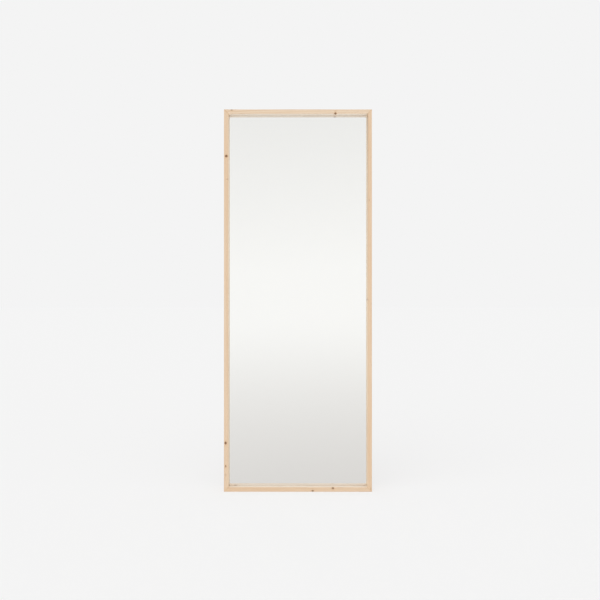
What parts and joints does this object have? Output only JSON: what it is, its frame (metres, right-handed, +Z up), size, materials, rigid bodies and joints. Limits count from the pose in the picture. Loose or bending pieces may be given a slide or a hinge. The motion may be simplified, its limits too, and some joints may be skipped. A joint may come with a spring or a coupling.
{
  "type": "full-length mirror",
  "caption": "Tall rectangular full-length mirror in a thin mitred knotty-pine box frame, glass set back, board-closed back with turn buttons and swinging D-ring hangers.",
  "frame": {"origin": "middle of the floor footprint: half way across the width and through the whole depth, at the underside of the bottom rail", "axes": "+Z up, +Y from the glass towards the wall, +X to the right seen from the front"},
  "size_m": [0.6, 0.05, 1.55],
  "materials": {
    "pine": "planed and sanded, clear matt",
    "mirror_pane": "polished float",
    "silver_coat": "silvered",
    "hardboard": "smooth pressed fibre",
    "filler_card": "corrugated sheet",
    "zinc_steel": "bright zinc plated",
    "bumper_rubber": "matt moulded"
  },
  "bodies": {
    "frame": {"top_rail": "pine", "bottom_rail": "pine", "left_stile": "pine", "right_stile": "pine", "corner_v_nails": "zinc_steel", "mirror_glass": "mirror_pane", "mirror_silvering": "silver_coat", "glass_setting_blocks": "bumper_rubber", "filler_pad": "filler_card", "backing_board": "hardboard", "turn_button_screws": "zinc_steel", "left_hanger_strap": "zinc_steel", "right_hanger_strap": "zinc_steel", "hanger_screws": "zinc_steel", "wall_bumpers": "bumper_rubber"},
    "turn_button_left_1_body": {"turn_button_left_1": "zinc_steel"},
    "turn_button_right_1_body": {"turn_button_right_1": "zinc_steel"},
    "turn_button_left_2_body": {"turn_button_left_2": "zinc_steel"},
    "turn_button_right_2_body": {"turn_button_right_2": "zinc_steel"},
    "turn_button_left_3_body": {"turn_button_left_3": "zinc_steel"},
    "turn_button_right_3_body": {"turn_button_right_3": "zinc_steel"},
    "turn_button_left_4_body": {"turn_button_left_4": "zinc_steel"},
    "turn_button_right_4_body": {"turn_button_right_4": "zinc_steel"},
    "turn_button_bottom_1_body": {"turn_button_bottom_1": "zinc_steel"},
    "turn_button_top_1_body": {"turn_button_top_1": "zinc_steel"},
    "turn_button_bottom_2_body": {"turn_button_bottom_2": "zinc_steel"},
    "turn_button_top_2_body": {"turn_button_top_2": "zinc_steel"},
    "left_ring": {"left_d_ring": "zinc_steel"},
    "right_ring": {"right_d_ring": "zinc_steel"}
  },
  "joints": [
    {"name": "turn_button_left_1_turn", "type": "hinge", "parent": "frame", "child": "turn_button_left_1_body", "pos_m": [-0.294, 0.02, 0.15], "axis": [0, 1, 0], "continuous": true},
    {"name": "turn_button_right_1_turn", "type": "hinge", "parent": "frame", "child": "turn_button_right_1_body", "pos_m": [0.294, 0.02, 0.15], "axis": [0, 1, 0], "continuous": true},
    {"name": "turn_button_left_2_turn", "type": "hinge", "parent": "frame", "child": "turn_button_left_2_body", "pos_m": [-0.294, 0.02, 0.56667], "axis": [0, 1, 0], "continuous": true},
    {"name": "turn_button_right_2_turn", "type": "hinge", "parent": "frame", "child": "turn_button_right_2_body", "pos_m": [0.294, 0.02, 0.56667], "axis": [0, 1, 0], "continuous": true},
    {"name": "turn_button_left_3_turn", "type": "hinge", "parent": "frame", "child": "turn_button_left_3_body", "pos_m": [-0.294, 0.02, 0.98333], "axis": [0, 1, 0], "continuous": true},
    {"name": "turn_button_right_3_turn", "type": "hinge", "parent": "frame", "child": "turn_button_right_3_body", "pos_m": [0.294, 0.02, 0.98333], "axis": [0, 1, 0], "continuous": true},
    {"name": "turn_button_left_4_turn", "type": "hinge", "parent": "frame", "child": "turn_button_left_4_body", "pos_m": [-0.294, 0.02, 1.4], "axis": [0, 1, 0], "continuous": true},
    {"name": "turn_button_right_4_turn", "type": "hinge", "parent": "frame", "child": "turn_button_right_4_body", "pos_m": [0.294, 0.02, 1.4], "axis": [0, 1, 0], "continuous": true},
    {"name": "turn_button_bottom_1_turn", "type": "hinge", "parent": "frame", "child": "turn_button_bottom_1_body", "pos_m": [-0.14, 0.02, 0.006], "axis": [0, 1, 0], "continuous": true},
    {"name": "turn_button_top_1_turn", "type": "hinge", "parent": "frame", "child": "turn_button_top_1_body", "pos_m": [-0.14, 0.02, 1.544], "axis": [0, 1, 0], "continuous": true},
    {"name": "turn_button_bottom_2_turn", "type": "hinge", "parent": "frame", "child": "turn_button_bottom_2_body", "pos_m": [0.14, 0.02, 0.006], "axis": [0, 1, 0], "continuous": true},
    {"name": "turn_button_top_2_turn", "type": "hinge", "parent": "frame", "child": "turn_button_top_2_body", "pos_m": [0.14, 0.02, 1.544], "axis": [0, 1, 0], "continuous": true},
    {"name": "left_ring_swing", "type": "hinge", "parent": "frame", "child": "left_ring", "pos_m": [-0.2923, 0.02208, 1.24], "axis": [1, 0, 0], "range_deg": [0, 175]},
    {"name": "right_ring_swing", "type": "hinge", "parent": "frame", "child": "right_ring", "pos_m": [0.2923, 0.02208, 1.24], "axis": [1, 0, 0], "range_deg": [0, 175]}
  ]
}
